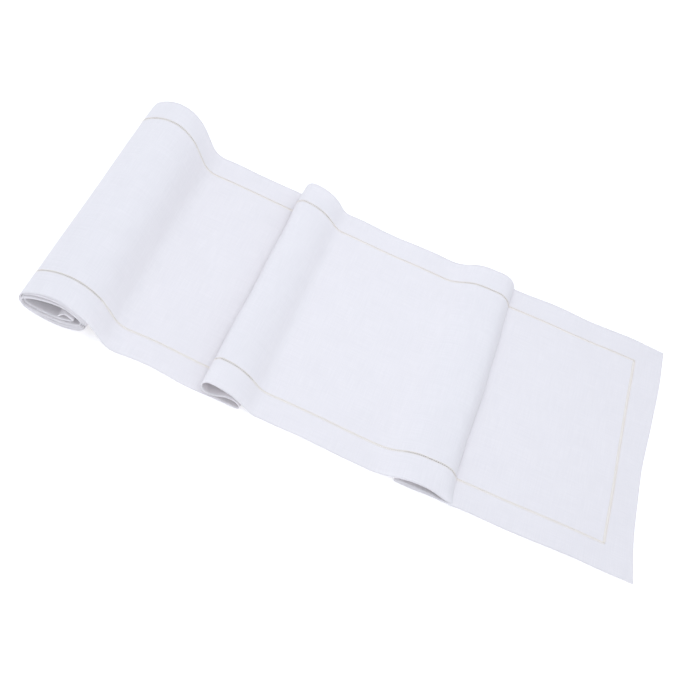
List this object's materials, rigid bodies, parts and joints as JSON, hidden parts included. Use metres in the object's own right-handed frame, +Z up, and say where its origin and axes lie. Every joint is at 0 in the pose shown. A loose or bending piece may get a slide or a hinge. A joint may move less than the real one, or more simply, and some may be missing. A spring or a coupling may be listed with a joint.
{
  "type": "table runner",
  "caption": "White linen table runner with wide plain hems and a beige hemstitch row, laid out with soft folds and one end loosely rolled.",
  "frame": {"origin": "middle of the laid-out runner's box, at table height", "axes": "+X along the runner from the roll to the free end, +Y across it from the near long edge to the far one, +Z up from the table"},
  "size_m": [0.778, 0.4154, 0.0578],
  "materials": {
    "linen": "plain-weave white linen, matt",
    "thread": "beige sewing thread, matt"
  },
  "bodies": {
    "root": {"centre_panel": "linen", "long_hem_near": "linen", "long_hem_far": "linen", "end_hem_free": "linen", "end_hem_rolled": "linen", "hemstitch_near": "thread", "hemstitch_far": "thread", "hemstitch_free_end": "thread", "hemstitch_rolled_end": "thread"}
  },
  "joints": []
}
